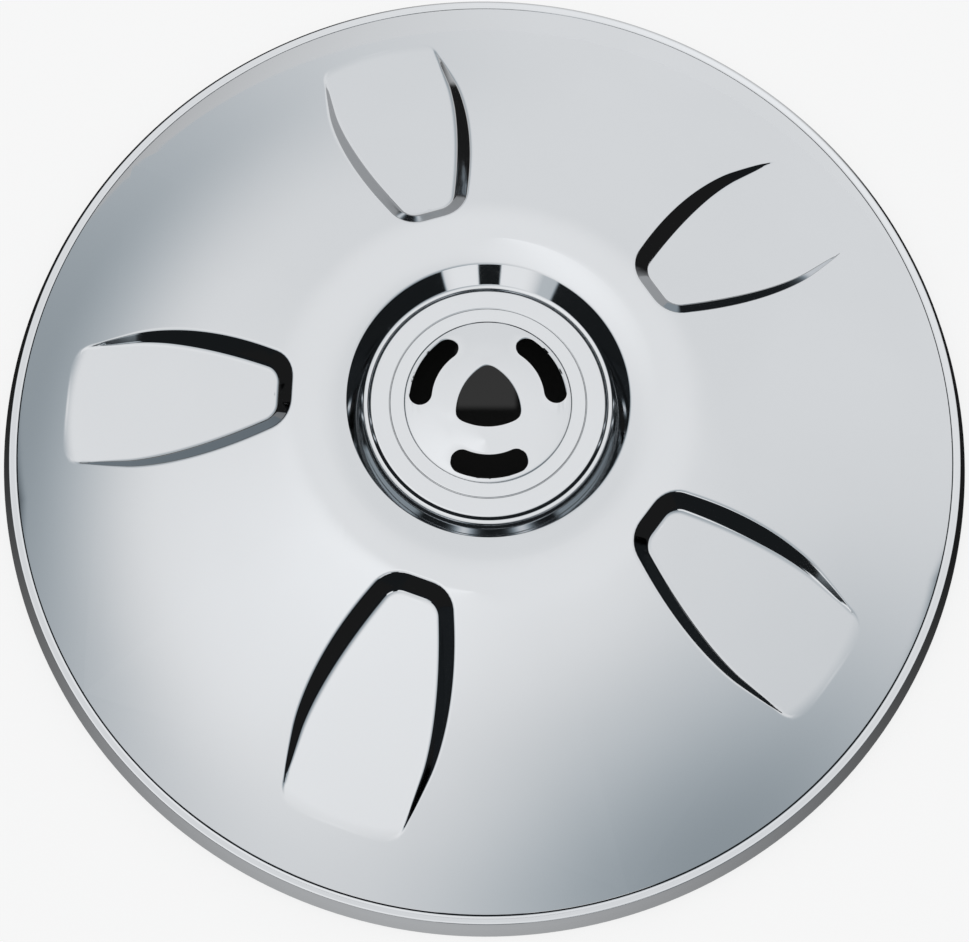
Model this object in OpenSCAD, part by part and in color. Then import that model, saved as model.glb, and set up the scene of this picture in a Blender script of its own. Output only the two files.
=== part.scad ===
// Pressed sheet cover for an axle hub and wheel, face up.
// The origin is the centre of the foot circle, with +Z out of the face.

/* [Cover] */
// Outside diameter across the rolled edge
cover_d = 430; // [424:1:440]
// Thickness of the sheet
sheet = 1; // [0.8:0.1:1.2]
// Rise of the domed crown above its edge
crown_rise = 61; // [58:1:64]
// Height of the crown's edge above the foot
crown_edge_h = 14; // [12:0.5:18]

/* [Rolled edge] */
// Radius of the hem that rolls under
hem_r = 3.4; // [2.8:0.1:3.8]
// Width of the flat foot behind the hem
foot_w = 4; // [3:0.5:8]
// Radius of the raised bead
bead_r = 1.9; // [1.7:0.1:2.2]
// Width of the valley between the crown and the bead
valley_w = 2.2; // [1.8:0.1:3]
// Depth of that valley below the crown's edge
valley_h = 1.1; // [0.6:0.1:1.4]
// Radius of the corner where the hem leaves the upright wall
hem_corner_r = 0.9; // [0.6:0.1:1.2]

/* [Hub well] */
// Radius at which the crown starts to roll over into the well
roll_start_r = 88; // [84:1:92]
// Radius of that roll
roll_r = 45; // [43:1:48]
// Radius of the well's mouth
well_r = 58.7; // [57:0.1:60]
// Radius of the well's shoulder
shoulder_r = 2.5; // [1.8:0.1:3.5]
// Angle of the well's wall
well_wall_a = 49; // [46:1:53]
// Height of the flat ring above the foot
ring_h = 54.8; // [54:0.1:56]
// Depth of the channel below the ring
channel_depth = 1.5; // [1.1:0.1:2.5]
// Radius of the channel's bottom
channel_r = 3; // [2.5:0.1:3.4]
// Radius of the ring's outer corner
ring_corner_r = 1.5; // [1.3:0.1:2]
// Angle of the channel's inner side
channel_inner_a = 35; // [30:1:45]
// Radius of the scribed line on the ring
scribe_r = 40.6; // [38:0.1:42]
// Width of the scribed line
scribe_w = 0.9; // [0.5:0.1:1.2]

/* [Dome] */
// Radius of the small dome
dome_r = 33.8; // [33.6:0.1:35]
// Height of the dome's top above the ring
dome_h = 5; // [4:0.1:6]
// Height of the step at the dome's edge
step_h = 0.8; // [0.8:0.1:1.2]
// Middle radius of the three curved vents
vent_r = 28; // [27.5:0.1:28.5]
// Width of the curved vents
vent_w = 9.6; // [8:0.1:10]
// Half the angle between the end centres of a curved vent
vent_half_a = 21; // [16:1:26]
// Reach of the centre opening to the middle of each side
eye_side_r = 11; // [9:0.1:12]
// Reach of the centre opening to its corners
eye_corner_r = 14.3; // [13:0.1:15]
// Turn of the vents about the axis
vent_turn = 31; // [0:1:60]

/* [Scoops] */
// Turn of the first scoop about the axis
scoop_turn = 34.4; // [0:0.1:72]
// Radius at which the floor's inner end lies
scoop_in_r = 86.5; // [84:0.5:90]
// Radius at which the floor runs out flush with the crown
scoop_out_r = 180; // [170:1:185]
// Radius of the floor's outer corners in plan
scoop_tip_r = 9; // [6:0.5:12]
// Depth of the floor at the inner end
scoop_depth = 7.5; // [6:0.1:9]
// Half width of the floor's straight inner edge
scoop_end_w = 4.5; // [3:0.5:6]
// Radius of the floor's inner corners in plan
scoop_corner_r = 7; // [5:0.5:8]
// Half width of the floor where its sides run parallel
scoop_side_w = 25.5; // [22:0.5:28]
// Radius at which the sides have become parallel
scoop_side_r = 150; // [140:1:160]
// Angle of the side walls
side_wall_a = 48; // [44:1:54]
// Angle of the inner end wall
end_wall_a = 41; // [38:1:46]
// Radius between the floor and the walls
scoop_floor_r = 2.5; // [1.5:0.1:3.5]
// Radius of the walls' upper shoulder
scoop_lip_r = 2.6; // [1.8:0.1:3.2]

/* [Spring clips] */
// Width of the strip
clip_w = 16; // [10:1:20]
// Thickness of the strip
clip_t = 0.8; // [0.6:0.1:1]
// Distance of the pad's middle from the crown's edge
clip_inset = 27.6; // [24:0.1:34]
// Length of the pad
clip_pad_l = 20; // [14:1:24]
// Depth to which the leg hangs below the pad's outer end
clip_leg_l = 12; // [8:0.5:13]
// Reach of the hooked tip
clip_tip_l = 6; // [4:0.5:7]
// Gap between the pad and the crown
clip_gap = 0.3; // [0.25:0.05:0.4]

/* [Hidden] */
$fn = 96;

scoop_n = 5;
cover_r = cover_d / 2;
steel = [0.80, 0.82, 0.84];
spring = [0.52, 0.53, 0.55];

// The rolled edge
hem_cx = cover_r - hem_r;
bead_cx = hem_cx - bead_r;
bead_cz = crown_edge_h - bead_r;
crown_edge_r = bead_cx - bead_r - valley_w;
foot_in_r = hem_cx - foot_w;
hem_start_a = 25;

// The crown is a cap of a sphere
crown_r = (crown_edge_r * crown_edge_r + crown_rise * crown_rise) / (2 * crown_rise);
crown_cz = crown_edge_h + crown_rise - crown_r;

// The roll is a torus that is tangent to the crown
roll_a = asin(roll_start_r / crown_r);
roll_cx = roll_start_r - roll_r * sin(roll_a);
roll_cz = crown_cz + (crown_r - roll_r) * cos(roll_a);
mouth_a = asin((well_r - roll_cx) / roll_r);

// The small dome is a cap of a sphere on a stepped edge
dome_cap_h = dome_h - step_h;
dome_sphere_r = (dome_r * dome_r + dome_cap_h * dome_cap_h) / (2 * dome_cap_h);
dome_cz = ring_h + dome_h - dome_sphere_r;
dome_a = asin(dome_r / dome_sphere_r);
step_a = 60;
step_top_r = 1.3;
step_foot_r = 0.4;

clear = 20;
above = crown_edge_h + crown_rise + clear;
arc_steps = 6;
crown_steps = 14;

// Points on an arc; the angle is that of the skin's normal from the vertical.
// A negative radius gives the hollow side of a valley.
function arc(cx, cz, r, from_a, to_a, steps = arc_steps) =
    [for (i = [0 : steps]) let (a = from_a + (to_a - from_a) * i / steps)
        [cx + r * sin(a), cz + r * cos(a)]];

// Step down the dome's edge, on a surface that lies s below the skin
function step_points(s) =
    let (
        c1x = (dome_sphere_r - step_top_r) * sin(dome_a),
        c1z = dome_cz + (dome_sphere_r - step_top_r) * cos(dome_a),
        c2z = ring_h + step_foot_r,
        drop = c1z + step_top_r * cos(step_a) - (c2z - step_foot_r * cos(step_a)),
        c2x = c1x + (step_top_r + step_foot_r) * sin(step_a) + drop / tan(step_a)
    )
    concat(arc(c1x, c1z, step_top_r - s, dome_a, step_a),
           arc(c2x, c2z, -(step_foot_r + s), step_a, 0));

// Centres of the well's shoulder, channel and ring corner
shoulder_cx = roll_cx + (roll_r - shoulder_r) * sin(mouth_a);
shoulder_cz = roll_cz + (roll_r - shoulder_r) * cos(mouth_a);
channel_cz = ring_h - channel_depth + channel_r;
wall_drop = shoulder_cz + shoulder_r * cos(well_wall_a) - (channel_cz - channel_r * cos(well_wall_a));
channel_cx = shoulder_cx - (shoulder_r + channel_r) * sin(well_wall_a) - wall_drop / tan(well_wall_a);
corner_cz = ring_h - ring_corner_r;
inner_drop = corner_cz + ring_corner_r * cos(channel_inner_a)
    - (channel_cz - channel_r * cos(channel_inner_a));
corner_cx = channel_cx - (ring_corner_r + channel_r) * sin(channel_inner_a)
    - inner_drop / tan(channel_inner_a);

// Ring, channel and wall of the well, from the dome out to the roll
function well_points(s) =
    concat(step_points(s),
           arc(corner_cx, corner_cz, ring_corner_r - s, 0, channel_inner_a),
           arc(channel_cx, channel_cz, -(channel_r + s), channel_inner_a, -well_wall_a),
           arc(shoulder_cx, shoulder_cz, shoulder_r - s, -well_wall_a, mouth_a));

// Valley, bead, upright wall and hem, from the crown down to the foot
crown_a = asin(crown_edge_r / crown_r);
valley_flat = 0.1;
valley_r = valley_w / 2 - valley_flat;
bead_start_a = -45;
valley_cx = crown_edge_r + valley_w / 2;
valley_cz = crown_edge_h - valley_h + valley_r;
function edge_points(s) =
    concat(arc(valley_cx, valley_cz, -(valley_r + s), crown_a, bead_start_a),
           arc(bead_cx, bead_cz, bead_r - s, bead_start_a, 90),
           arc(hem_cx + hem_corner_r, 2 * hem_r + hem_corner_r, -(hem_corner_r + s), 90, hem_start_a),
           arc(hem_cx, hem_r, hem_r - s, hem_start_a, 180));

// The whole skin from the dome's top out to the foot, on a surface that lies s below it
function skin_points(s) =
    concat(arc(0, dome_cz, dome_sphere_r - s, 0, dome_a),
           well_points(s),
           arc(roll_cx, roll_cz, roll_r - s, mouth_a, roll_a),
           arc(0, crown_cz, crown_r - s, roll_a, crown_a, crown_steps),
           edge_points(s));

// Drops a point of a closed outline that lies on the one before it
apart = 0.001;
function cleaned(list) =
    [for (i = [0 : len(list) - 1])
        let (before = (i + len(list) - 1) % len(list))
        if (norm(list[i] - list[before]) > apart) list[i]];

// Half section of everything that lies under the skin, lowered by s
module under_skin(s, low) {
    polygon(cleaned(concat([[0, low]], skin_points(s), [[foot_in_r, s], [foot_in_r, low]])));
}

// Height of the face at radius r, on a surface that lies s below the skin
function face_z(r, s) =
    r > roll_cx + (roll_r - s) * sin(roll_a)
        ? crown_cz + sqrt(pow(crown_r - s, 2) - r * r)
        : roll_cz + sqrt(pow(roll_r - s, 2) - pow(r - roll_cx, 2));

// The scoop's floor is a plane that falls from its inner end to the crown
floor_in_z = face_z(scoop_in_r, 0) - scoop_depth;
floor_fall = (floor_in_z - face_z(scoop_out_r, 0)) / (scoop_out_r - scoop_in_r);
floor_a = atan(floor_fall);
function floor_z(x, s) = floor_in_z - floor_fall * (x - scoop_in_r) - s / cos(floor_a);

// Outline of the floor in plan, one side, from the middle of the inner end outwards
side_lean_a = 21;
side_power = 1.6;
corner_steps = 5;
side_steps = 7;
tip_steps = 4;
run_out = 2;
corner_c = [scoop_in_r + scoop_corner_r, scoop_end_w];
side_start = corner_c + scoop_corner_r * [-sin(side_lean_a), cos(side_lean_a)];
tip_c = [scoop_out_r + run_out, scoop_side_w] - scoop_tip_r * [1, 1];
function side_y(x) =
    let (t = min(1, (x - side_start[0]) / (scoop_side_r - side_start[0])))
    side_start[1] + (scoop_side_w - side_start[1]) * (1 - pow(1 - t, side_power));
half_outline = concat(
    [for (i = [0 : corner_steps - 1]) let (a = (90 - side_lean_a) * i / corner_steps)
        corner_c + scoop_corner_r * [-cos(a), sin(a)]],
    [for (i = [0 : side_steps]) let (x = side_start[0] + (scoop_side_r - side_start[0]) * i / side_steps)
        [x, side_y(x)]],
    [for (i = [0 : tip_steps]) let (a = 90 * i / tip_steps)
        tip_c + scoop_tip_r * [sin(a), cos(a)]]);
half_n = len(half_outline);
outline = concat(half_outline, [for (i = [half_n - 1 : -1 : 0]) [half_outline[i][0], -half_outline[i][1]]]);
outline_n = len(outline);

// Outward direction of the outline at each point, in plan
function outward(i) =
    let (
        a = outline[(i + outline_n - 1) % outline_n],
        b = outline[(i + 1) % outline_n],
        t = b - a
    )
    [-t[1], t[0]] / norm(t);

// One point's wall, from the floor up over the shoulder and clear of the face:
// each entry is how far out it lies and how high above the floor
lip_end_a = 18;
full_depth = 6;
least_scale = 0.08;
lip_reach = 4;
least_wall = 0.02;
function wall_rise(i, s) =
    let (
        n = outward(i),
        inward = max(0, -n[0]),
        a = side_wall_a + (end_wall_a - side_wall_a) * inward * inward,
        p = outline[i],
        grow = s * tan(a / 2),
        d0 = face_z(norm(p), s) - floor_z(p[0], s),
        q = p + n * max(0, d0) / tan(a),
        d = face_z(norm(q), s) - floor_z(q[0], s),
        k = min(1, max(least_scale, d / full_depth)),
        rf = (scoop_floor_r + s) * k,
        rl = (scoop_lip_r - s) * k,
        foot = grow - rf * tan(a / 2),
        wall_h = max(rf * (1 - cos(a)) + least_wall, d - rl * (cos(lip_end_a) - cos(a))),
        wall_o = grow + wall_h / tan(a)
    )
    concat(
        [for (j = [0 : 2]) [foot + rf * sin(a * j / 2), rf * (1 - cos(a * j / 2))]],
        [for (j = [0 : 2]) let (b = a + (lip_end_a - a) * j / 2)
            [wall_o + rl * (sin(a) - sin(b)), wall_h + rl * (cos(b) - cos(a))]],
        [[wall_o + rl * (sin(a) - sin(lip_end_a)) + lip_reach,
          wall_h + rl * (cos(lip_end_a) - cos(a)) + lip_reach * tan(lip_end_a)]]);
wall_layers = 7;

function wall_point(i, rise, layer, s) =
    let (xy = outline[i] + outward(i) * rise[layer][0])
    [xy[0], xy[1], floor_z(xy[0], s) + rise[layer][1]];

// The hollow of one scoop, up past the face; s > 0 gives the sheet's underside
module scoop_hollow(s) {
    rises = [for (i = [0 : outline_n - 1]) wall_rise(i, s)];
    rings = [for (layer = [0 : wall_layers - 1])
        [for (i = [0 : outline_n - 1]) wall_point(i, rises[i], layer, s)]];
    top = [for (p = rings[wall_layers - 1]) [p[0], p[1], above]];
    points = concat([for (ring = rings) each ring], top);
    sides = [for (layer = [0 : wall_layers - 1]) for (i = [0 : outline_n - 1])
        let (
            j = (i + 1) % outline_n,
            a = layer * outline_n + i,
            b = layer * outline_n + j,
            c = a + outline_n,
            d = b + outline_n
        )
        each [[a, b, d], [a, d, c]]];
    bottom = [for (i = [outline_n - 1 : -1 : 0]) i];
    lid = [for (i = [0 : outline_n - 1]) wall_layers * outline_n + i];
    polyhedron(points = points, faces = concat([bottom], sides, [lid]), convexity = 4);
}

module scoop_hollows(s) {
    for (i = [0 : scoop_n - 1]) rotate(scoop_turn + i * 360 / scoop_n) scoop_hollow(s);
}

// The dome's openings are cut from below the ring to above the dome
punch_z = ring_h - clear;
punch_h = dome_h + 2 * clear;

// A curved vent: an arc slot with round ends
vent_steps = 12;
module vent() {
    from_a = 90 - vent_half_a;
    to_a = 90 + vent_half_a;
    r = vent_w / 2;
    end_c = vent_r * [sin(to_a), cos(to_a)];
    translate([0, 0, punch_z]) linear_extrude(height = punch_h) polygon(cleaned(concat(
        arc(0, 0, vent_r + r, from_a, to_a, vent_steps),
        arc(end_c[0], end_c[1], r, to_a, to_a + 180, vent_steps),
        arc(0, 0, vent_r - r, to_a, from_a, vent_steps),
        arc(end_c[0], -end_c[1], r, from_a + 180, from_a + 360, vent_steps))));
}

// The centre opening: three arcs that bulge between three blunt corners
eye_blunting = 0.7;
eye_point_r = eye_corner_r + eye_blunting;
eye_reach = (eye_point_r * eye_point_r - eye_side_r * eye_side_r) / (2 * eye_side_r - eye_point_r);
module eye_side(turn) {
    rotate(vent_turn + turn) translate([-eye_reach, 0]) cylinder(r = eye_reach + eye_side_r, h = punch_h);
}
module eye() {
    translate([0, 0, punch_z]) intersection() {
        eye_side(0);
        eye_side(120);
        eye_side(240);
        cylinder(r = eye_corner_r, h = punch_h);
    }
}

// A shallow line cut around the ring by a round edge whose middle lies above it
scribe_lift = scribe_w / 8;
module scribed_line() {
    rotate_extrude() translate([scribe_r, ring_h + scribe_lift]) circle(r = scribe_w / 2, $fn = 24);
}

// The whole cover is pressed from one sheet
module cover() {
    color(steel) difference() {
        rotate_extrude() under_skin(0, 0);
        scoop_hollows(0);
        difference() {
            rotate_extrude() under_skin(sheet, -5);
            scoop_hollows(sheet);
        }
        for (i = [0 : 2]) rotate(vent_turn + 120 * i) vent();
        eye();
        scribed_line();
    }
}

// A path moved sideways by t, with mitred bends, so that a strip keeps its thickness
function side_of(v) = [-v[1], v[0]] / norm(v);
function moved(path, t) =
    [for (i = [0 : len(path) - 1])
        let (
            j = max(i, 1),
            k = min(i + 1, len(path) - 1),
            a = side_of(path[j] - path[j - 1]),
            b = side_of(path[k] - path[k - 1])
        )
        path[i] + (a + b) * t / (1 + a * b)];

// Section of a clip: the pad follows the crown, the leg hangs from it and the tip hooks inwards
pad_steps = 4;
clip_leg_lean = 1.5;
clip_tip_a = 48;
clip_under_r = crown_r - sheet - clip_gap;
clip_mid_a = asin((crown_edge_r - clip_inset) / clip_under_r);
clip_half_a = asin(clip_pad_l / 2 / clip_under_r);
clip_pad = arc(0, crown_cz, clip_under_r, clip_mid_a - clip_half_a, clip_mid_a + clip_half_a, pad_steps);
clip_leg_end = clip_pad[pad_steps] + [clip_leg_lean, -clip_leg_l];
clip_tip_end = clip_leg_end - clip_tip_l * [cos(clip_tip_a), sin(clip_tip_a)];
clip_path = concat(clip_pad, [clip_leg_end, clip_tip_end]);
clip_back = moved(clip_path, -clip_t);

// A bent strip that is spot welded under the crown, between two scoops
module clip(i) {
    back = [for (j = [len(clip_back) - 1 : -1 : 0]) clip_back[j]];
    color(spring) rotate(scoop_turn + (i + 0.5) * 360 / scoop_n) rotate([90, 0, 0])
        linear_extrude(height = clip_w, center = true) polygon(concat(clip_path, back));
}

cover();
clip(0);  // clip_1
clip(1);  // clip_2
clip(2);  // clip_3
clip(3);  // clip_4
clip(4);  // clip_5
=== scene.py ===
"""Dresses the pressed cover: its bright skin, the spring clips behind it, floor, light and camera."""
import math

import bmesh
import bpy
import numpy as np
from bpy.props import FloatProperty, FloatVectorProperty, PointerProperty
from bpy.types import Operator, Panel, PropertyGroup
from mathutils import Matrix, Vector


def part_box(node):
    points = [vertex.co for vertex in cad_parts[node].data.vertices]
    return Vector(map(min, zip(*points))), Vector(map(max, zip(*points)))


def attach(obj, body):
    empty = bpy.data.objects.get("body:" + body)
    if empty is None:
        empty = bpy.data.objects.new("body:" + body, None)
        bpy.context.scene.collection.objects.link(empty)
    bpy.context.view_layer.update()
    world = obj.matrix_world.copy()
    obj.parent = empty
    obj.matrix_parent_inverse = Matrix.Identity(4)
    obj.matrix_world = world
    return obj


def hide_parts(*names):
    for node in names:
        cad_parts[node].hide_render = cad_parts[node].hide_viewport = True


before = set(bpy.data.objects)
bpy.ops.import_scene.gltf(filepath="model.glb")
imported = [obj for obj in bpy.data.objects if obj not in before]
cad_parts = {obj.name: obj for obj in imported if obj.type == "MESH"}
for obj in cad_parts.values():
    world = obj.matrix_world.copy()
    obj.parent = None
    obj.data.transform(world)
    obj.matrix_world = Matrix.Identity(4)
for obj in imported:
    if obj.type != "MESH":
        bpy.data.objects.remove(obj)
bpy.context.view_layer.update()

bl_info = {
    "name": "Pressed Hub Cover",
    "version": (1, 0, 0),
    "blender": (4, 5, 0),
    "location": "View3D > Sidebar > Hub Cover",
    "description": "Builds a bright pressed cover with scoops, a hub well and a vented dome",
    "category": "Object",
}

MM = 0.001
COVER_LOW, COVER_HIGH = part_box("cover")
COVER_R = round((COVER_HIGH[0] - COVER_LOW[0]) / 2, 3)


def length(name, value, about):
    """A length property, with its default given in millimetres."""
    return FloatProperty(name=name, description=about, default=value * MM, unit="LENGTH", precision=4)


def angle(name, value, about):
    """An angle property, with its default given in degrees."""
    return FloatProperty(name=name, description=about, default=math.radians(value), subtype="ANGLE")


def colour(name, value, about):
    """A colour property."""
    return FloatVectorProperty(name=name, description=about, default=value, subtype="COLOR", size=3,
                               min=0.0, max=1.0)


class CoverSizes(PropertyGroup):
    """Sizes of the pressed sheet"""

    sheet: length("Sheet", 1.0, "Thickness of the sheet")
    crown_rise: length("Crown rise", 61, "Rise of the domed crown above its edge")
    crown_edge_h: length("Crown edge", 14, "Height of the crown's edge above the foot")
    hem_r: length("Hem", 3.4, "Radius of the hem that rolls under")
    foot_w: length("Foot", 4, "Width of the flat foot behind the hem")
    bead_r: length("Bead", 1.9, "Radius of the raised bead")
    valley_w: length("Valley width", 2.2, "Width of the valley between crown and bead")
    valley_h: length("Valley depth", 1.1, "Depth of that valley below the crown's edge")
    roll_start_r: length("Roll start", 88, "Radius at which the crown starts to roll over")
    roll_r: length("Roll", 45, "Radius of that roll")
    well_r: length("Well mouth", 58.7, "Radius of the well's mouth")
    shoulder_r: length("Shoulder", 2.5, "Radius of the well's shoulder")
    well_wall_a: angle("Well wall", 49, "Slope of the well's wall")
    ring_h: length("Ring height", 54.8, "Height of the flat ring above the foot")
    channel_depth: length("Channel depth", 1.5, "Depth of the channel below the ring")
    channel_r: length("Channel", 1.5, "Radius of the channel's bottom")
    ring_corner_r: length("Ring corner", 1.5, "Radius of the ring's outer corner")
    channel_inner_a: angle("Channel side", 45, "Slope of the channel's inner side")
    scribe_r: length("Scribed line", 40.6, "Radius of the scribed line")
    scribe_w: length("Scribed width", 0.9, "Width of the scribed line")
    scribe_depth: length("Scribed depth", 0.34, "Depth of the scribed line")
    dome_r: length("Dome", 33.8, "Radius of the small dome")
    dome_h: length("Dome height", 5, "Height of the dome's top above the ring")
    step_h: length("Step", 0.8, "Height of the step at the dome's edge")
    step_top_r: length("Step top", 1.3, "Radius at the top of the step")
    step_foot_r: length("Step foot", 0.4, "Radius at the foot of the step")
    step_a: angle("Step slope", 60, "Slope of the step")


class OpeningSizes(PropertyGroup):
    """Sizes of the dome's openings"""

    vent_r: length("Vent radius", 28, "Middle radius of the curved vents")
    vent_w: length("Vent width", 9.6, "Width of the curved vents")
    vent_half_a: angle("Vent length", 23.5, "Half the angle between a vent's end centres")
    vent_turn: angle("Vent turn", 31, "Turn of the vents about the axis")
    eye_side_r: length("Eye side", 11.9, "Reach of the centre opening to its sides")
    eye_corner_r: length("Eye corner", 14.9, "Reach of the centre opening to its corners")
    eye_ring_r: length("Eye ring", 18.5, "Radius between the centre opening and the vents")


class ScoopSizes(PropertyGroup):
    """Sizes of the pressed scoops"""

    turn: angle("Turn", 34.4, "Turn of the first scoop")
    in_r: length("Inner end", 86.5, "Radius at which the floor starts")
    out_r: length("Outer end", 180, "Radius at which the floor runs out flush")
    tip_r: length("Outer corner", 9, "Radius of the outer corners in plan")
    depth: length("Depth", 7.5, "Depth of the floor at its inner end")
    end_w: length("End width", 4.5, "Half width of the straight inner edge")
    corner_r: length("Corner", 7, "Radius of the inner corners in plan")
    side_w: length("Side width", 25.5, "Half width where the sides run parallel")
    side_r: length("Side radius", 150, "Radius at which the sides are parallel")
    side_lean_a: angle("Side lean", 21, "Lean of the sides where they leave the corners")
    side_wall_a: angle("Side wall", 48, "Slope of the side walls")
    end_wall_a: angle("End wall", 41, "Slope of the inner end's wall")
    floor_r: length("Floor fillet", 2.5, "Radius between floor and walls")
    lip_r: length("Lip", 2.6, "Radius of the walls' shoulder")


class Looks(PropertyGroup):
    """Colours and finishes"""

    bright: colour("Bright steel", (0.80, 0.82, 0.845), "Reflected colour of the polished sheet")
    spring: colour("Spring steel", (0.42, 0.43, 0.45), "Reflected colour of the clips")
    floor: colour("Floor", (0.90, 0.90, 0.90), "Colour of the floor")


SCOOP_N = 5
VENT_N = 3
FIFTH = 2 * math.pi / SCOOP_N
THIRD = 2 * math.pi / VENT_N
WELL_STEPS = 36 * SCOOP_N
RIM_STEPS = 52 * SCOOP_N
# Distance from an edge to the row that holds it, and the one under which points are welded
HOLD = 0.35 * MM
WELD = 0.002 * MM
# Least width of a rounding, so that nothing is divided by zero
TINY = 1e-9
WHITE = (1.0, 1.0, 1.0, 1.0)


def arc(centre, radius, start, end, steps):
    """An arc in the section: centre + radius * (sin a, cos a), with a evenly from start to end.

    The angle is that of the skin's normal from the vertical, and a negative radius gives a hollow.
    """
    a = np.linspace(start, end, steps + 1)
    return np.asarray(centre) + radius * np.stack([np.sin(a), np.cos(a)], axis=1)


def joined(*runs):
    """Joins the runs of a section, with points HOLD inside both ends of each straight stretch between."""
    line = [runs[0]]
    for run in runs[1:]:
        start, end = line[-1][-1], run[0]
        gap = np.linalg.norm(end - start)
        if gap > 3 * HOLD:
            along = (end - start) / gap
            line.append(np.array([start + along * HOLD, end - along * HOLD]))
        line.append(run if gap > WELD else run[1:])
    return np.concatenate(line)


def apart(top_z, top_r, foot_z, foot_r, a):
    """How far apart in radius the centres of a round top and a hollow foot lie, with one slope between.

    The slope leaves both arcs at the angle a: both radii times sin a, plus the drop between the two
    points of contact over tan a.
    """
    drop = top_z + top_r * math.cos(a) - (foot_z - foot_r * math.cos(a))
    return (top_r + foot_r) * math.sin(a) + drop / math.tan(a)


class Section:
    """Centres and heights that follow from the cover's sizes, in the plane of radius and height.

    The rim's ridge, skirt and hem are flat slants between tight bends, because each shows as a band of
    one tone. The part's own section rounds them.
    """

    RIDGE_R, BEND_R, HEM_R = 0.7 * MM, 0.5 * MM, 2.2 * MM
    # Slopes of the skirt, the hem's upper side and the ridge's inner side
    SKIRT_A, HEM_A, RIDGE_IN_A = math.radians(52), math.radians(58), math.radians(-45)
    VALLEY_FLAT = 0.1 * MM
    # Soft dents in the dome, beside the centre opening's corners
    DENT_R, DENT_DEPTH = 3.2 * MM, 0.16 * MM

    def __init__(self, s):
        self.s = s
        self.hem_cx = COVER_R - s.hem_r
        self.bead_cx = self.hem_cx - s.bead_r
        self.bead_cz = s.crown_edge_h - s.bead_r
        self.crown_edge_r = self.bead_cx - s.bead_r - s.valley_w
        self.crown_r = (self.crown_edge_r ** 2 + s.crown_rise ** 2) / (2 * s.crown_rise)
        self.crown_cz = s.crown_edge_h + s.crown_rise - self.crown_r
        self.crown_a = math.asin(self.crown_edge_r / self.crown_r)
        self.roll_a = math.asin(s.roll_start_r / self.crown_r)
        self.roll_cx = s.roll_start_r - s.roll_r * math.sin(self.roll_a)
        self.roll_cz = self.crown_cz + (self.crown_r - s.roll_r) * math.cos(self.roll_a)
        self.mouth_a = math.asin((s.well_r - self.roll_cx) / s.roll_r)
        cap_h = s.dome_h - s.step_h
        self.dome_sphere_r = (s.dome_r ** 2 + cap_h ** 2) / (2 * cap_h)
        self.dome_cz = s.ring_h + s.dome_h - self.dome_sphere_r
        self.dome_a = math.asin(s.dome_r / self.dome_sphere_r)

    def face_z(self, r):
        """Height of the face: the crown's sphere outside the roll's start, and the roll's torus inside it."""
        crown = self.crown_cz + np.sqrt(self.crown_r ** 2 - np.minimum(r, self.crown_edge_r) ** 2)
        x = np.clip(r - self.roll_cx, -self.s.roll_r, self.s.roll_r)
        return np.where(r > self.s.roll_start_r, crown, self.roll_cz + np.sqrt(self.s.roll_r ** 2 - x ** 2))

    def dome_z(self, xy, dents):
        """Height of the small dome: a sphere's cap less soft dents, which fade as exp(-distance squared)."""
        z = self.dome_cz + np.sqrt(self.dome_sphere_r ** 2 - np.sum(xy * xy, axis=-1))
        for dent in dents:
            away = np.sum((xy - dent) ** 2, axis=-1) / self.DENT_R ** 2
            z = z - self.DENT_DEPTH * np.exp(-away)
        return z

    def step(self):
        """The step at the dome's edge: a round top, a short slope and a tight foot."""
        s = self.s
        top = [(self.dome_sphere_r - s.step_top_r) * math.sin(self.dome_a),
               self.dome_cz + (self.dome_sphere_r - s.step_top_r) * math.cos(self.dome_a)]
        foot_z = s.ring_h + s.step_foot_r
        foot_x = top[0] + apart(top[1], s.step_top_r, foot_z, s.step_foot_r, s.step_a)
        return [arc(top, s.step_top_r, self.dome_a, s.step_a, 5),
                arc([foot_x, foot_z], -s.step_foot_r, s.step_a, 0, 4)]

    def scribed(self):
        """The scribed line: the ring lowered by half the depth times (1 + cos) across the line's width."""
        s = self.s
        t = np.linspace(-1, 1, 9)
        z = s.ring_h - s.scribe_depth * (1 + np.cos(math.pi * t)) / 2
        return np.stack([s.scribe_r + t * s.scribe_w / 2, z], axis=1)

    def well(self, out_r):
        """Ring, channel, wall and shoulder, from the dome's edge out to radius out_r on the roll."""
        s = self.s
        shoulder = [self.roll_cx + (s.roll_r - s.shoulder_r) * math.sin(self.mouth_a),
                    self.roll_cz + (s.roll_r - s.shoulder_r) * math.cos(self.mouth_a)]
        channel_cz = s.ring_h - s.channel_depth + s.channel_r
        channel_cx = shoulder[0] - apart(shoulder[1], s.shoulder_r, channel_cz, s.channel_r, s.well_wall_a)
        corner_cz = s.ring_h - s.ring_corner_r
        corner_cx = channel_cx - apart(corner_cz, s.ring_corner_r, channel_cz, s.channel_r, s.channel_inner_a)
        out_a = math.asin((out_r - self.roll_cx) / s.roll_r)
        return joined(*self.step(), self.scribed(),
                      arc([corner_cx, corner_cz], s.ring_corner_r, 0, s.channel_inner_a, 5),
                      arc([channel_cx, channel_cz], -s.channel_r, s.channel_inner_a, -s.well_wall_a, 9),
                      arc(shoulder, s.shoulder_r, -s.well_wall_a, self.mouth_a, 6),
                      arc([self.roll_cx, self.roll_cz], s.roll_r, self.mouth_a, out_a, 4))

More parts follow.
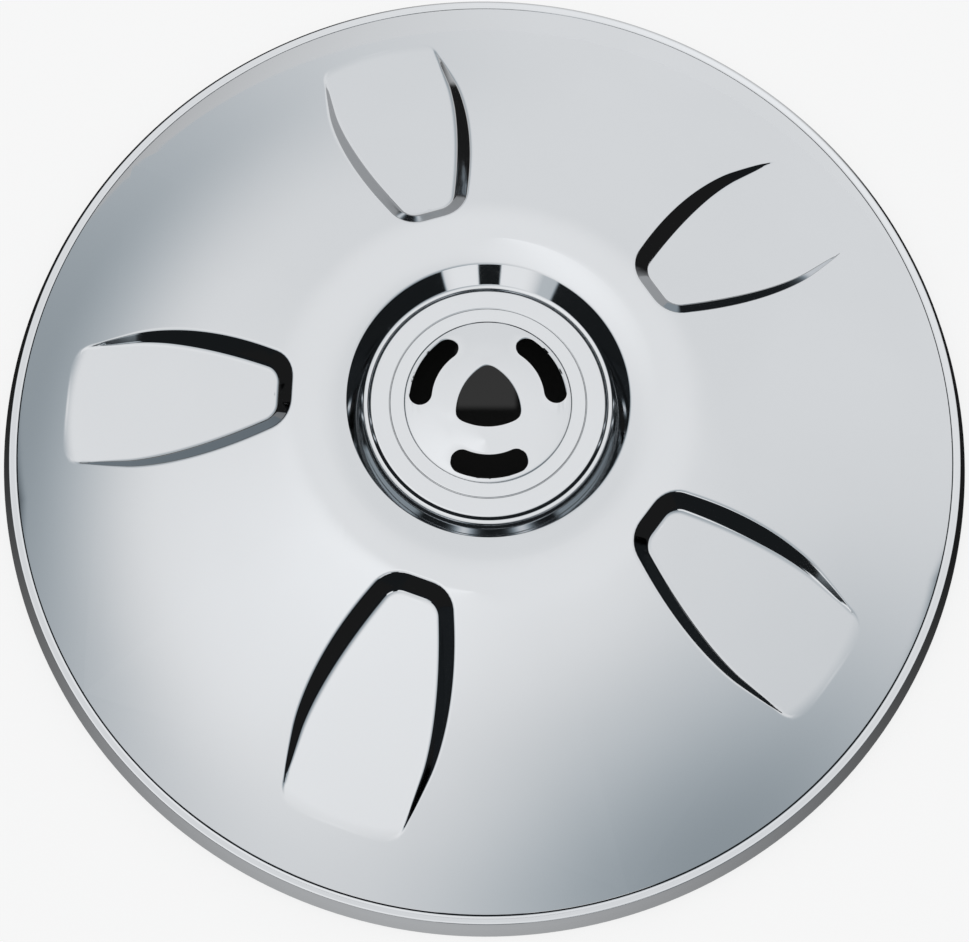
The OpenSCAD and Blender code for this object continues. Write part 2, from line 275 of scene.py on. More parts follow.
    def edge(self):
        """Valley, ridge, skirt, upright wall, hem and foot, from the crown's edge down and in."""
        s = self.s
        valley_r = s.valley_w / 2 - self.VALLEY_FLAT
        valley = [self.crown_edge_r + s.valley_w / 2, s.crown_edge_h - s.valley_h + valley_r]
        upright = math.pi / 2
        shift = s.bead_r - self.RIDGE_R
        ridge = [self.bead_cx + shift * math.sin(self.RIDGE_IN_A),
                 self.bead_cz + shift * math.cos(self.RIDGE_IN_A)]
        skirt_x = self.hem_cx - self.BEND_R
        skirt_z = self.level_with(ridge, self.RIDGE_R - self.BEND_R, self.SKIRT_A, skirt_x)
        hem = [COVER_R - self.HEM_R, self.HEM_R]
        corner_x = self.hem_cx + self.BEND_R
        corner_z = self.level_with(hem, self.HEM_R + self.BEND_R, self.HEM_A, corner_x)
        return joined(np.array([[self.crown_edge_r, s.crown_edge_h]]),
                      arc(valley, -valley_r, self.crown_a, self.RIDGE_IN_A, 6),
                      arc(ridge, self.RIDGE_R, self.RIDGE_IN_A, self.SKIRT_A, 7),
                      arc([skirt_x, skirt_z], self.BEND_R, self.SKIRT_A, upright, 4),
                      arc([corner_x, corner_z], -self.BEND_R, upright, self.HEM_A, 4),
                      arc(hem, self.HEM_R, self.HEM_A, math.pi, 9),
                      np.array([[self.hem_cx - s.foot_w, 0.0]]))

    @staticmethod
    def level_with(centre, gap, a, x):
        """Height at x of the line that runs gap outside a centre, square to the direction a."""
        return centre[1] + (gap - (x - centre[0]) * math.sin(a)) / math.cos(a)


def soft_min(a, b, k):
    """The smaller of a and b, rounded by a parabola where they differ by less than k."""
    k = np.maximum(k, TINY)
    return np.minimum(a, b) - np.maximum(k - np.abs(a - b), 0) ** 2 / (4 * k)


def soft_rise(w, k):
    """The larger of 0 and w, rounded by a parabola where w is within k of 0."""
    k = np.maximum(k, TINY)
    return np.maximum(w, 0) + np.maximum(k - np.abs(w), 0) ** 2 / (4 * k)


def polar(r, a):
    """Plan points at radii r and angles a: (r cos a, r sin a)."""
    return np.stack([r * np.cos(a), r * np.sin(a)], axis=-1)


def turned(points, a):
    """Points turned about the axis by a."""
    c, s = math.cos(a), math.sin(a)
    out = points.copy()
    out[..., 0] = points[..., 0] * c - points[..., 1] * s
    out[..., 1] = points[..., 0] * s + points[..., 1] * c
    return out


class Scoop:
    """One scoop in its own frame, with +X outwards, as columns around its outline and rows away from it.

    The height above the floor's plane is the smaller of the face's height above it and the wall's,
    which is zero on the floor and rises outside the outline by the tangent of the wall's slope. Both
    joins are rounded: the floor's by a fillet and the face's by a lip, which shrink with the depth.
    """

    # Steps along the outline's runs, and the radius at which the well's revolved skin takes over
    END_STEPS, CORNER_STEPS, SIDE_STEPS, ARC_STEPS, TIP_STEPS = 3, 8, 36, 14, 8
    RING_R = 68 * MM
    # How the sides widen, how deep a wall has its full fillets, and how far the tips run past out_r
    WIDEN = 1.6
    FULL_DEPTH = 6 * MM
    RUN_OUT = 0.5 * MM
    # Mean slope of the crown at the lips
    CROWN_A = math.radians(10)
    # Rows across the foot, the wall and the lip, as shares of each one's width
    FOOT_ROWS = np.linspace(-1, 1, 6)
    WALL_ROWS = (0.12, 0.5, 0.88)
    LIP_ROWS = np.linspace(-1, 1, 7)
    # The soft line where a wall has run out: its width, its rows' spread, and below which share it starts
    CREASE = 2.4 * MM
    CREASE_ROWS = (-1.9, 1.25)
    CREASE_SHARE = 0.35
    # Least run of a wall, and least share of HOLD for the rows beside it
    LEAST_RUN, LEAST_HOLD = 0.02 * MM, 0.05
    # Least distance along x between two points of the innermost row
    APART = 0.04 * MM
    # Rows from a scoop's outermost row to the border of its fifth, closer together near the scoop
    FAR_ROWS = np.linspace(0, 1, 11)[1:-1, None] ** 1.2

    def __init__(self, section, sizes):
        self.section = section
        self.s = sizes
        face = section.face_z
        self.floor_in_z = float(face(sizes.in_r)) - sizes.depth
        self.fall = (self.floor_in_z - float(face(sizes.out_r))) / (sizes.out_r - sizes.in_r)
        self.tip_c = np.array([sizes.out_r + self.RUN_OUT, sizes.side_w]) - sizes.tip_r

    def floor_z(self, x):
        """Height of the floor's plane, which falls evenly from its inner end outwards."""
        return self.floor_in_z - self.fall * (x - self.s.in_r)

    def depth(self, xy):
        """How far the floor's plane lies below the face."""
        return self.section.face_z(np.hypot(xy[..., 0], xy[..., 1])) - self.floor_z(xy[..., 0])

    def last_inside(self, start, way, reach):
        """Points farthest along each way, up to reach, with the floor below the face, found by halving."""
        low = np.zeros(len(way))
        high = np.full(len(way), reach)
        for _ in range(40):
            mid = (low + high) / 2
            inside = self.depth(start + way * mid[:, None]) > 0
            low, high = np.where(inside, mid, low), np.where(inside, high, mid)
        return start + way * low[:, None]

    def outline(self):
        """Half the outline, from the middle of the inner end to the middle of the outer one.

        A straight end, a round corner, a side that widens as 1 - (1 - t) ** WIDEN until it runs
        parallel, a round outer corner, cut off where the floor runs out flush, and the line where it
        does. Returns points, the ways that they face, the walls' slopes and how many have a wall.
        """
        s = self.s
        corner = np.array([s.in_r + s.corner_r, s.end_w])
        a = np.linspace(0, math.pi / 2 - s.side_lean_a, self.CORNER_STEPS + 1)
        bend = corner + s.corner_r * np.stack([-np.cos(a), np.sin(a)], axis=1)
        end_y = np.linspace(0, s.end_w, self.END_STEPS + 1)[:-1]
        end = np.stack([np.full_like(end_y, s.in_r), end_y], axis=1)
        x0, y0 = bend[-1]
        x = np.linspace(x0, self.tip_c[0], self.SIDE_STEPS + 1)[1:]
        t = np.minimum(1, (x - x0) / (s.side_r - x0))
        side = np.stack([x, y0 + (s.side_w - y0) * (1 - (1 - t) ** self.WIDEN)], axis=1)
        straight = np.concatenate([end, bend, side])
        along = np.gradient(straight, axis=0)
        facing = np.stack([-along[:, 1], along[:, 0]], axis=1)
        facing /= np.linalg.norm(facing, axis=1)[:, None]
        turn = np.linspace(0, math.pi / 2, self.ARC_STEPS + 1)[1:]
        out = np.stack([np.sin(turn), np.cos(turn)], axis=1)
        bent = self.last_inside(self.tip_c, out, s.tip_r)
        level_y = np.linspace(self.tip_c[1], 0, self.TIP_STEPS + 1)[1:]
        level = np.stack([np.full_like(level_y, self.tip_c[0]), level_y], axis=1)
        level = self.last_inside(level, np.array([[1.0, 0.0]] * len(level)), 2 * s.tip_r)
        facing = np.concatenate([facing, out, [[1.0, 0.0]] * len(level)])
        inward = np.maximum(0, -facing[:, 0])
        slope = s.side_wall_a + (s.end_wall_a - s.side_wall_a) * inward ** 2
        return np.concatenate([straight, bent, level]), facing, slope, len(straight)

    def rows(self):
        """Rows of plan points around the half outline, with the wall's height above the floor's plane.

        Offsets run from inside the floor fillet, up the wall and over the lip, to just outside it. The
        wall's run is the depth where it ends over the tangent of its slope, found by repeating that.
        Where the wall runs out, the rows spread evenly over the soft line between floor and face. The
        innermost row runs outwards all the way, so that the floor's strips don't fold over.
        """
        start, facing, slope, straight = self.outline()
        s = self.s
        tan = np.tan(slope)
        run = np.maximum(self.depth(start), 0) / tan
        for _ in range(12):
            run = np.maximum(self.depth(start + facing * run[:, None]), 0) / tan
        run = np.maximum(run, self.LEAST_RUN)
        share = np.minimum(1, run * tan / self.FULL_DEPTH)
        foot = s.floor_r * share * np.tan(slope / 2)
        lip = s.lip_r * share * np.tan((slope - self.CROWN_A) / 2)
        hold = HOLD * np.maximum(share, self.LEAST_HOLD)
        steps = [-foot - hold]
        steps += [foot * t for t in self.FOOT_ROWS]
        steps += [foot + (run - lip - foot) * t for t in self.WALL_ROWS]
        steps += [run + lip * t for t in self.LIP_ROWS]
        steps += [run + lip + hold]
        offset = np.array(steps)
        fade = np.clip(1 - share / self.CREASE_SHARE, 0, 1)
        fade = fade * fade * (3 - 2 * fade)
        spread = np.linspace(*self.CREASE_ROWS, len(offset))[:, None] * self.CREASE
        offset = offset + (spread - offset) * fade
        xy = start[None] + facing[None] * offset[..., None]
        k = np.arange(straight // 2 + 1, len(start))
        slack = xy[0, k, 0] - self.APART * k
        xy[0, k, 0] = np.minimum.accumulate(slack[::-1])[::-1] + self.APART * k
        past = xy - self.tip_c
        beyond = np.linalg.norm(np.maximum(past, 0), axis=-1) + np.minimum(past.max(axis=-1), 0) - s.tip_r
        wall = np.where(np.arange(len(start)) < straight, offset, beyond) * tan
        k_foot = foot * tan * (1 - fade)
        k_lip = lip * (tan - math.tan(self.CROWN_A))
        k_lip = k_lip + (self.CREASE * self.fall - k_lip) * fade
        return xy, wall, k_foot[None], k_lip[None]

    def sheet(self):
        """The scoop and the crown around it out to its fifth of the cover: (rows, columns, 3)."""
        xy, wall, k_foot, k_lip = self.rows()
        rise = soft_min(self.depth(xy), soft_rise(wall, k_foot), k_lip)
        z = self.floor_z(xy[..., 0]) + rise
        near = np.concatenate([xy, z[..., None]], axis=-1)
        half = FIFTH / 2
        edge_r = self.section.crown_edge_r
        n_in, n_out = WELL_STEPS // SCOOP_N // 2, RIM_STEPS // SCOOP_N // 2
        n_side = xy.shape[1] - 1 - n_in - n_out
        side_r = self.RING_R * (edge_r / self.RING_R) ** np.linspace(0, 1, n_side - 1)[1:-1]
        side_r = np.concatenate([[self.RING_R + HOLD], side_r, [edge_r - HOLD]])
        border = np.concatenate([
            polar(self.RING_R, np.linspace(0, half, n_in + 1)),
            polar(side_r, half),
            polar(edge_r, np.linspace(half, 0, n_out + 1)),
        ])
        start = xy[-1]
        gap = np.linalg.norm(border - start, axis=1)
        t = self.FAR_ROWS * np.ones_like(gap)
        t = np.concatenate([t, 1 - HOLD / gap[None], np.ones_like(gap)[None]])
        far = start[None] + (border - start)[None] * t[..., None]
        far_z = self.section.face_z(np.hypot(far[..., 0], far[..., 1]))
        far = np.concatenate([far, far_z[..., None]], axis=-1)
        return np.concatenate([near, far])


class Skin:
    """Gathers grids of points and their faces, and joins them into one surface."""

    def __init__(self):
        self.points = []
        self.faces = []
        self.count = 0

    def add(self, grid, closed=False):
        """Adds a grid of rows and columns; closed joins its last column to its first."""
        rows, cols = grid.shape[:2]
        at = self.count + np.arange(rows * cols).reshape(rows, cols)
        if closed:
            at = np.concatenate([at, at[:, :1]], axis=1)
        quads = np.stack([at[:-1, :-1], at[:-1, 1:], at[1:, 1:], at[1:, :-1]], axis=-1)
        self.points.append(grid.reshape(-1, 3))
        self.faces += quads.reshape(-1, 4).tolist()
        self.count += rows * cols

    def revolved(self, section, angles):
        """Adds a section turned about the axis through the angles."""
        xy = polar(section[:, :1], angles[None])
        z = section[:, 1, None] * np.ones(len(angles))
        self.add(np.concatenate([xy, z[..., None]], axis=-1), closed=True)

    def object(self, name):
        """Welds what meets, points the faces outwards and makes the object."""
        mesh = bpy.data.meshes.new(name)
        mesh.from_pydata(np.concatenate(self.points).tolist(), [], self.faces)
        work = bmesh.new()
        work.from_mesh(mesh)
        bmesh.ops.remove_doubles(work, verts=work.verts, dist=WELD)
        bmesh.ops.dissolve_degenerate(work, edges=work.edges, dist=WELD / 4)
        bmesh.ops.recalc_face_normals(work, faces=work.faces)
        top = max(work.faces, key=lambda f: f.calc_center_median().z)
        if top.normal.z < 0:
            bmesh.ops.reverse_faces(work, faces=work.faces)
        work.to_mesh(mesh)
        work.free()
        mesh.polygons.foreach_set("use_smooth", np.ones(len(mesh.polygons), dtype=bool))
        made = bpy.data.objects.new(name, mesh)
        bpy.context.scene.collection.objects.link(made)
        return made


def along_line(line, spots):
    """Points at the given shares of a closed line's length."""
    closed = np.concatenate([line, line[:1]])
    travelled = np.concatenate([[0], np.cumsum(np.linalg.norm(np.diff(closed, axis=0), axis=1))])
    spots = spots % 1 * travelled[-1]
    return np.stack([np.interp(spots, travelled, closed[:, axis]) for axis in (0, 1)], axis=1)


def vent_line(o):
    """A vent's outline in its own frame, with +X outwards: two arcs joined by half circles."""
    fine = 60
    r, half_a = o.vent_w / 2, o.vent_half_a
    a = np.linspace(-half_a, half_a, fine)
    cap = np.linspace(0, math.pi, fine)[1:-1]
    left, right = polar(o.vent_r, np.array([half_a, -half_a]))
    return np.concatenate([
        polar(o.vent_r + r, a),
        left + polar(r, half_a + cap),
        polar(o.vent_r - r, a[::-1]),
        right + polar(r, math.pi - half_a + cap),
    ])


def eye_radius(o, a):
    """The centre opening's radius at angles a from a side's middle: three bulging arcs with blunt corners.

    Each arc is centred beyond the axis, so that it meets its neighbours in a point a little outside the
    corners' reach.
    """
    over, blunt = 0.7 * MM, 0.8 * MM
    point = o.eye_corner_r + over
    reach = (point ** 2 - o.eye_side_r ** 2) / (2 * o.eye_side_r - point)
    a = (a + THIRD / 2) % THIRD - THIRD / 2
    side = -reach * np.cos(a) + np.sqrt((reach + o.eye_side_r) ** 2 - (reach * np.sin(a)) ** 2)
    return soft_min(side, o.eye_corner_r, blunt)


class Dome:
    """The small dome: a third around each vent, and a ring of rows around the centre opening.

    angles are those of the well's columns, and the thirds start at the nearest of them.
    """

    IN_STEPS, SIDE_STEPS = 46, 7
    VENT_ROWS = np.array([0, 0.34, 0.67, 1])[:, None, None]
    EYE_ROWS = np.linspace(0, 1, 5)[:, None]
    # Share of a vent's half circle, at each of its ends, that faces the dome's edge or its ring
    CAP_SHARE = 0.4
    DENT_OUT = 3.6 * MM

    def __init__(self, section, sizes, angles):
        self.section = section
        self.o = sizes
        self.angles = angles
        self.per_third = len(angles) // VENT_N
        corners = sizes.vent_turn + (np.arange(VENT_N) + 0.5) * THIRD
        self.dents = polar(sizes.eye_corner_r + self.DENT_OUT, corners)

    def outer_angles(self, i):
        """Angles of the third's columns on the dome's edge, from the middle of vent i."""
        start = self.o.vent_turn - THIRD / 2
        first = int(np.argmin(np.abs((self.angles - start + math.pi) % (2 * math.pi) - math.pi)))
        columns = np.arange(first, first + self.per_third + 1) + i * self.per_third
        a = np.unwrap(np.take(self.angles, columns, mode="wrap")) - self.o.vent_turn - i * THIRD
        return (a + math.pi) % (2 * math.pi) - math.pi

    def border(self, outer_a, inner_a):
        """The third's border: the dome's edge, a straight side, the centre ring and a side back out."""
        dome_r, ring_r = self.section.s.dome_r, self.o.eye_ring_r
        side_r = np.linspace(dome_r, ring_r, self.SIDE_STEPS + 1)[1:-1]
        return np.concatenate([
            polar(dome_r, outer_a),
            polar(side_r, outer_a[-1]),
            polar(ring_r, inner_a),
            polar(side_r[::-1], outer_a[0]),
        ])

    def vent_points(self):
        """Points on a vent's outline that face the border's, each run of them evenly spaced."""
        line = vent_line(self.o)
        total = np.linalg.norm(np.diff(line, axis=0, append=line[:1]), axis=1).sum()
        out_len = 2 * self.o.vent_half_a * (self.o.vent_r + self.o.vent_w / 2)
        cap_len = math.pi * self.o.vent_w / 2
        part = self.CAP_SHARE * cap_len
        turns = [-part, out_len + part, out_len + cap_len - part, total - cap_len + part, total - part]
        counts = [self.per_third, self.SIDE_STEPS, self.IN_STEPS, self.SIDE_STEPS]
        runs = [np.linspace(a, b, n + 1) for a, b, n in zip(turns, turns[1:], counts)]
        spots = np.concatenate([runs[0], runs[1][1:-1], runs[2], runs[3][1:-1]])
        return along_line(line, spots / total)

    def raised(self, xy):
        """Plan points with the dome's height as their third number."""
        return np.concatenate([xy, self.section.dome_z(xy, self.dents)[..., None]], axis=-1)

    def build(self, skin):
        """Adds the thirds and the centre ring to the skin."""
        inside = self.vent_points()
        around = []
        for i in range(VENT_N):
            turn = self.o.vent_turn + i * THIRD
            outer_a = self.outer_angles(i)
            inner_a = np.linspace(outer_a[-1], outer_a[0], self.IN_STEPS + 1)
            border = self.border(outer_a, inner_a)
            xy = inside[None] + (border - inside)[None] * self.VENT_ROWS
            skin.add(self.raised(turned(xy, turn)), closed=True)
            around.append(inner_a[::-1][:-1] + turn)
        around = np.concatenate(around)
        t = self.EYE_ROWS
        r = eye_radius(self.o, around - self.o.vent_turn) * (1 - t) + self.o.eye_ring_r * t
        skin.add(self.raised(polar(r, around[None])), closed=True)


class Value:
    """One shader value: a node tree and the socket that carries it, with maths as operators."""

    def __init__(self, tree, socket=None):
        self.tree = tree
        self.socket = socket

    def node(self, kind, inputs=(), output=0, **settings):
        """Adds a node of a kind, makes its settings, then sets or links its inputs, and returns an output."""
        made = self.tree.nodes.new(kind)
        for key, value in settings.items():
            setattr(made, key, value)
        for key, value in dict(inputs).items():
            if isinstance(value, Value):
                self.tree.links.new(value.socket, made.inputs[key])
            else:
                made.inputs[key].default_value = value
        return Value(self.tree, made.outputs[output])

    def feed(self, socket):
        """Links this value to an input socket."""
        self.tree.links.new(self.socket, socket)

    def math(self, operation, *others):
        """A Math node on this value and the others."""
        return self.node("ShaderNodeMath", enumerate((self, *others)), operation=operation)

    def __add__(self, other):
        return self.math("ADD", other)

    __radd__ = __add__

    def __sub__(self, other):
        return self.math("SUBTRACT", other)

    def __rsub__(self, other):
        return self.node("ShaderNodeMath", {0: other, 1: self}, operation="SUBTRACT")

    def __mul__(self, other):
        return self.math("MULTIPLY", other)

    __rmul__ = __mul__

    def __truediv__(self, other):
        return self.math("DIVIDE", other)

    def __rtruediv__(self, other):
        return self.node("ShaderNodeMath", {0: other, 1: self}, operation="DIVIDE")

    def ramp(self, start, end):
        """0 below start and 1 above end, with a smooth run between."""
        return self.node("ShaderNodeMapRange", {"Value": self, "From Min": start, "From Max": end},
                         interpolation_type="SMOOTHSTEP")

    def mix(self, first, second):
        """A colour between first, where this value is 0, and second, where it is 1."""
        return self.node("ShaderNodeMix", {0: self, 6: first, 7: second}, output=2, data_type="RGBA")


def opaque(tint, share=1.0):
    """A colour with an alpha of 1, as a share of its brightness."""
    return (*[part * share for part in tint], 1.0)


def material(name):
    """A new node material, a value to start its nodes from, and its principled shader."""
    made = bpy.data.materials.new(name)
    made.use_nodes = True
    return made, Value(made.node_tree), made.node_tree.nodes["Principled BSDF"]


def bright_steel(looks):
    """Polished sheet: a mirror with faint haze, fine wipe marks and a slight waviness from the press."""
    made, v, shader = material("bright_steel")
    place = v.node("ShaderNodeTexCoord", output="Object")
    cloud = v.node("ShaderNodeTexNoise", {"Vector": place, "Scale": 14.0, "Detail": 3.0})
    fine = v.node("ShaderNodeTexNoise", {"Vector": place, "Scale": 420.0, "Detail": 2.0})
    tint = cloud.ramp(0.35, 0.7).mix(opaque(looks.bright, 0.985), opaque(looks.bright))
    tint.feed(shader.inputs["Base Color"])
    rough = 0.035 + cloud.ramp(0.4, 0.75) * 0.02 + fine.ramp(0.45, 0.8) * 0.012
    rough.feed(shader.inputs["Roughness"])
    shader.inputs["Metallic"].default_value = 1.0
    wave = v.node("ShaderNodeTexNoise", {"Vector": place, "Scale": 9.0, "Detail": 1.0})
    bump = v.node("ShaderNodeBump", {"Strength": 0.08, "Distance": 0.0008, "Height": wave})
    bump.feed(shader.inputs["Normal"])
    return made


def spring_steel(looks):
    """Rolled spring steel: a grey sheen drawn out along the strip, with darker heat tint in places."""
    made, v, shader = material("spring_steel")
    place = v.node("ShaderNodeTexCoord", output="Object")
    lay = v.node("ShaderNodeMapping", {"Vector": place, "Scale": (900.0, 900.0, 60.0)})
    grain = v.node("ShaderNodeTexNoise", {"Vector": lay, "Scale": 1.0, "Detail": 2.0})
    patch = v.node("ShaderNodeTexNoise", {"Vector": place, "Scale": 60.0, "Detail": 2.0})
    tint = patch.ramp(0.4, 0.75).mix(opaque(looks.spring), opaque(looks.spring, 0.72))
    tint.feed(shader.inputs["Base Color"])
    rough = 0.3 + grain.ramp(0.3, 0.7) * 0.16
    rough.feed(shader.inputs["Roughness"])
    shader.inputs["Metallic"].default_value = 1.0
    bump = v.node("ShaderNodeBump", {"Strength": 0.2, "Distance": 0.0001, "Height": grain})
    bump.feed(shader.inputs["Normal"])
    return made


class Bearing:
    """A level direction, given as the east and north parts of a unit vector."""

    def __init__(self, east, north):
        self.east = east
        self.north = north

    def lobe(self, degrees, power=1.0):
        """How far the direction faces a bearing: the cosine between them, or 0, raised to a power."""
        a = math.radians(degrees)
        cosine = self.east * math.cos(a) + self.north * math.sin(a)
        return cosine.math("MAXIMUM", 0.0).math("POWER", power)


def floor_white(looks):
    """The floor: white to the camera, and to the metal a painted reflection that is near black on most sides.

    The metal sees a painted white reflection of it on the far side, where it joins the bright world, and
    a partly white one close by in front. Under the cover its colour is painted near black as painted
    shade, with a faint grey painted glow that shows through the centre opening.
    """
    made, v, shader = material("floor_white")
    place = v.node("ShaderNodeTexCoord", output="Object")
    x, y = (v.node("ShaderNodeSeparateXYZ", {0: place}, output=axis) for axis in "XY")
    away = (x * x + y * y).math("SQRT").math("MAXIMUM", 0.001)
    faces = Bearing(x / away, y / away)
    # Shares in which the metal sees a painted white or grey reflection of the floor: front close by in front,
    # beyond on the far side.
    front = faces.lobe(-100, 2.0) * away.ramp(COVER_R + 140 * MM, COVER_R + 20 * MM) * 0.6
    beyond = faces.lobe(72).ramp(0.75, 0.95).math("MAXIMUM", y.ramp(0.285, 0.31))
    beyond = beyond.math("MAXIMUM", y.ramp(0.22, 0.28) * (y + x * 1.6).ramp(0.0, 0.04))
    beyond = beyond * (1.0 - faces.lobe(165, 2.0) * 0.52)
    beyond = beyond * (0.7 + away.ramp(COVER_R + 25 * MM, COVER_R + 75 * MM) * 0.3)
    white_reflection_share = front.math("MAXIMUM", beyond)
    outside = away.ramp(COVER_R - 9 * MM, COVER_R - 4 * MM)
    # Painted light: a faint grey glow on the floor under the cover, which shows through the centre opening.
    painted_glow = y.ramp(11 * MM, 15 * MM) * away.ramp(45 * MM, 40 * MM)
    painted_glow = painted_glow * x.math("ABSOLUTE").ramp(15 * MM, 12 * MM)
    shader.inputs["Roughness"].default_value = 0.9
    shader.inputs["Specular IOR Level"].default_value = 0.0
    # Painted shade: the floor's colour is near black under the cover, where its shadow falls.
    outside.mix(opaque((0.05, 0.05, 0.05)), opaque(looks.floor)).feed(shader.inputs["Base Color"])
    camera = v.node("ShaderNodeLightPath", output="Is Camera Ray")
    glossy = v.node("ShaderNodeLightPath", output="Is Glossy Ray")
    glow = v.node("ShaderNodeEmission", {"Color": WHITE, "Strength": 1.0})
    # Painted reflection: outside its white share, the metal sees the floor as this near-black glow.
    painted_black_reflection = v.node("ShaderNodeEmission", {"Color": WHITE, "Strength": 0.012})
    # The glow whitens the floor for the camera as a plain backdrop, for the metal as a painted reflection,
    # and faintly as a painted glow under the cover.
    lift = outside * 0.75 * camera.math("MAXIMUM", glossy * 0.5) + painted_glow * 0.03
    lifted = v.node("ShaderNodeMixShader", {0: lift, 1: Value(v.tree, shader.outputs[0]), 2: glow})
    mixed = v.node("ShaderNodeMixShader", {0: glossy * (1.0 - white_reflection_share), 1: lifted, 2: painted_black_reflection})
    mixed.feed(v.tree.nodes["Material Output"].inputs["Surface"])
    return made


def studio_light():
    """The world: white to the camera, and a soft studio by direction to everything else.

    rise is the sine of a direction's height. The studio is bright down to a horizon that dips towards
    the far side, grey in two wedges and nearly black below the horizon. In front it has a bright line
    on the horizon and two low windows with a gap between. Light that has met the metal more than once
    comes from two dim patches and two small bright ones only.
    """
    world = bpy.data.worlds.new("studio")
    bpy.context.scene.world = world
    world.use_nodes = True
    v = Value(world.node_tree)
    way = v.node("ShaderNodeTexCoord", output="Generated")
    east, north, rise = (v.node("ShaderNodeSeparateXYZ", {0: way}, output=axis) for axis in "XYZ")
    level = (1.0 - rise * rise).math("MAXIMUM", 0.0001).math("SQRT")
    faces = Bearing(east / level, north / level)

    horizon = 0.14 - faces.lobe(85) * 0.36 + faces.lobe(-90) * 0.13
    windows = faces.lobe(-96).ramp(0.84, 0.86) * faces.lobe(-90).ramp(0.9955, 0.993) * rise.ramp(0.09, 0.12)
    lit = (rise - horizon).ramp(-0.02, 0.03).math("MAXIMUM", windows * 0.75)

    top = rise.ramp(0.72, 0.98) * 0.08
    key = faces.lobe(-152, 2.0) * rise.ramp(0.3, 0.8) * 0.13
    right_wedge = faces.lobe(-55, 4.0) * (1.0 - rise.ramp(0.3, 1.0)) * 0.44
    left_wedge = faces.lobe(165, 2.0) * (1.0 - rise.ramp(0.12, 0.62)) * 0.42
    glare = (horizon + 0.03 - rise).ramp(-0.02, 0.02) * faces.lobe(-90).ramp(0.75, 0.95) * 1.2
    light = (0.8 + top + key - right_wedge - left_wedge).math("MAXIMUM", glare) * lit + 0.012

    glossy_depth = v.node("ShaderNodeLightPath", output="Glossy Depth")
    again = (glossy_depth - 1.0).math("MINIMUM", 1.0).math("MAXIMUM", 0.0)
    dim = faces.lobe(52).ramp(0.955, 0.975) + faces.lobe(129).ramp(0.94, 0.96)
    small = faces.lobe(82, 900.0) + faces.lobe(99, 900.0)
    patches = dim * rise.ramp(0.48, 0.42) * 0.42 + (small * 0.9).math("MINIMUM", 0.9)
    light = light * (1.0 - again * (0.98 - patches))

    tint = light.ramp(0.9, 0.2).mix(WHITE, opaque((0.8, 0.92, 1.0)))
    seen = v.node("ShaderNodeLightPath", output="Is Camera Ray")
    back = world.node_tree.nodes["Background"]
    seen.mix(tint, WHITE).feed(back.inputs["Color"])
    light.math("MAXIMUM", seen).feed(back.inputs["Strength"])


class HUBCOVER_OT_cover(Operator):
    """Builds the pressed cover as one sheet"""

    bl_idname = "hubcover.cover"
    bl_label = "Cover"

    # Rounding of the punched edges, and the least angle of an edge that gets it
    ROUND_W, ROUND_A = 0.12 * MM, math.radians(60)

    def execute(self, context):
        scene = context.scene
        section = Section(scene.cover_sizes)
        skin = Skin()
        half = Scoop(section, scene.scoop_sizes).sheet()
        mirrored = half * np.array([1, -1, 1])
        whole = np.concatenate([half, mirrored[:, -2:0:-1]], axis=1)
        floor = np.stack([half[0], mirrored[0]])
        for i in range(SCOOP_N):
            turn = scene.scoop_sizes.turn + i * FIFTH
            skin.add(turned(whole, turn), closed=True)
            skin.add(turned(floor, turn))
        start = scene.scoop_sizes.turn + FIFTH / 2
        well_a = start + np.arange(WELL_STEPS) * 2 * math.pi / WELL_STEPS
        rim_a = start + np.arange(RIM_STEPS) * 2 * math.pi / RIM_STEPS
        skin.revolved(section.well(Scoop.RING_R), well_a)
        skin.revolved(section.edge(), rim_a)
        Dome(section, scene.opening_sizes, well_a).build(skin)
        cover = skin.object("pressed_cover")
        wall = cover.modifiers.new("sheet", "SOLIDIFY")
        wall.thickness = scene.cover_sizes.sheet
        wall.offset = -1.0
        edges = cover.modifiers.new("punched_edges", "BEVEL")
        edges.width = self.ROUND_W
        edges.segments = 2
        edges.limit_method = "ANGLE"
        edges.angle_limit = self.ROUND_A
        cover.data.materials.append(bright_steel(scene.cover_looks))
        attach(cover, "root")
        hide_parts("cover")
        return {"FINISHED"}


class HUBCOVER_OT_clips(Operator):
    """Finishes the spring clips behind the cover"""

    bl_idname = "hubcover.clips"
    bl_label = "Spring clips"

    def execute(self, context):
        finish = spring_steel(context.scene.cover_looks)
        names = [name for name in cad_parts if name.startswith("clip_")]
        if len(names) != SCOOP_N:
            raise RuntimeError("a spring clip is missing from the frame")
        for name in names:
            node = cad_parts[name]
            node.data.materials.clear()
            node.data.materials.append(finish)
        return {"FINISHED"}


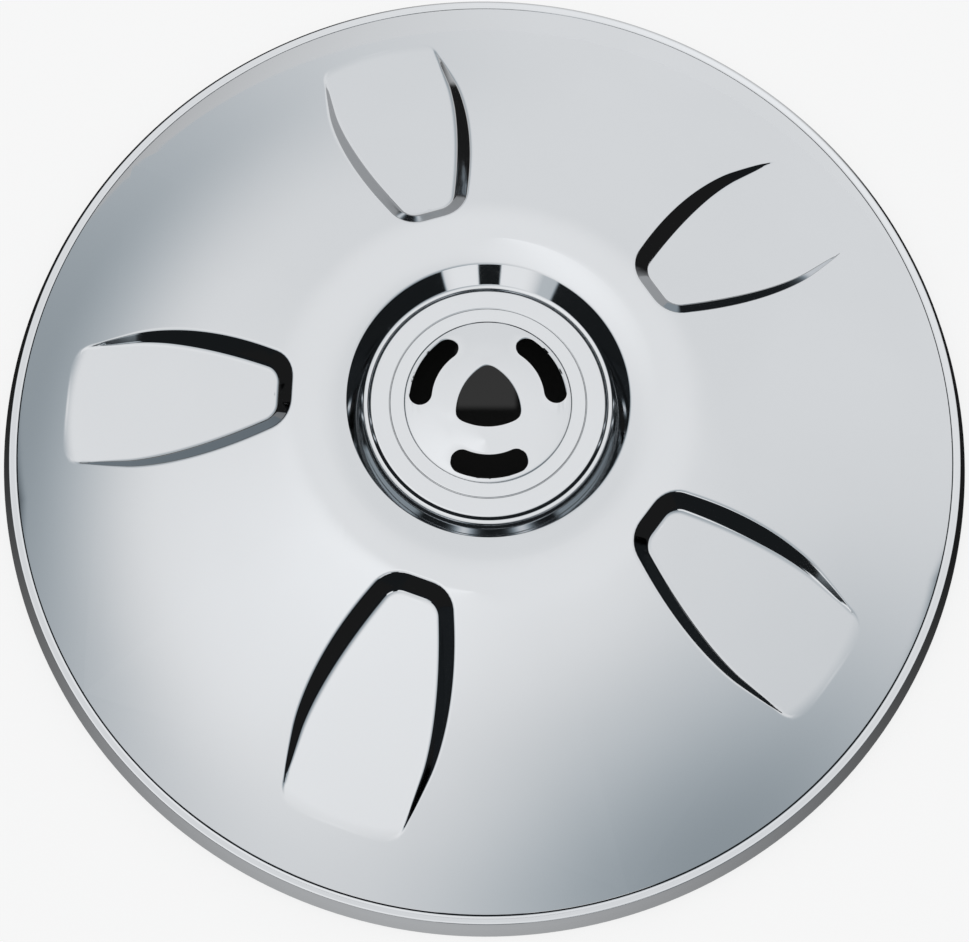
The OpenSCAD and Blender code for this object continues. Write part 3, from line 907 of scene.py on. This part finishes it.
class HUBCOVER_OT_stage(Operator):
    """Sets the floor, the light and the camera"""

    bl_idname = "hubcover.stage"
    bl_label = "Stage"

    FLOOR_HALF = 3.0
    # The camera stands close, leant over the point of the crown's edge plane that it aims at
    TILT, LEAN = math.radians(13.29), math.radians(-0.715)
    DISTANCE = 618 * MM
    AIM = (0.977 * MM, 19.26 * MM)
    LENS, SENSOR = 52.08, 36.0

    def execute(self, context):
        scene = context.scene
        half = self.FLOOR_HALF
        corners = [(-half, -half, 0), (half, -half, 0), (half, half, 0), (-half, half, 0)]
        mesh = bpy.data.meshes.new("floor")
        mesh.from_pydata(corners, [], [(0, 1, 2, 3)])
        floor = bpy.data.objects.new("floor", mesh)
        scene.collection.objects.link(floor)
        mesh.materials.append(floor_white(scene.cover_looks))
        studio_light()
        scene.view_settings.view_transform = "Standard"
        data = bpy.data.cameras.new("camera")
        data.sensor_fit = "HORIZONTAL"
        data.sensor_width = self.SENSOR
        data.lens = self.LENS
        camera = bpy.data.objects.new("camera", data)
        turn = Matrix.Rotation(self.LEAN, 4, "Y") @ Matrix.Rotation(self.TILT, 4, "X")
        place = turn @ Vector((-self.AIM[0], -self.AIM[1], self.DISTANCE))
        lift = Matrix.Translation((0, 0, scene.cover_sizes.crown_edge_h))
        camera.matrix_world = lift @ Matrix.Translation(place) @ turn
        scene.collection.objects.link(camera)
        scene.camera = camera
        return {"FINISHED"}


class HUBCOVER_PT_panel(Panel):
    """Lists the cover's operators"""

    bl_label = "Hub Cover"
    bl_idname = "HUBCOVER_PT_panel"
    bl_space_type = "VIEW_3D"
    bl_region_type = "UI"
    bl_category = "Hub Cover"

    def draw(self, context):
        for operator in (HUBCOVER_OT_cover, HUBCOVER_OT_clips, HUBCOVER_OT_stage):
            self.layout.operator(operator.bl_idname)


CLASSES = (CoverSizes, OpeningSizes, ScoopSizes, Looks, HUBCOVER_OT_cover, HUBCOVER_OT_clips,
           HUBCOVER_OT_stage, HUBCOVER_PT_panel)


def register():
    for item in CLASSES:
        bpy.utils.register_class(item)
    bpy.types.Scene.cover_sizes = PointerProperty(type=CoverSizes)
    bpy.types.Scene.opening_sizes = PointerProperty(type=OpeningSizes)
    bpy.types.Scene.scoop_sizes = PointerProperty(type=ScoopSizes)
    bpy.types.Scene.cover_looks = PointerProperty(type=Looks)


def unregister():
    del bpy.types.Scene.cover_looks
    del bpy.types.Scene.scoop_sizes
    del bpy.types.Scene.opening_sizes
    del bpy.types.Scene.cover_sizes
    for item in reversed(CLASSES):
        bpy.utils.unregister_class(item)


def main():
    register()
    bpy.ops.hubcover.cover()
    bpy.ops.hubcover.clips()
    bpy.ops.hubcover.stage()


if __name__ == "__main__":
    main()
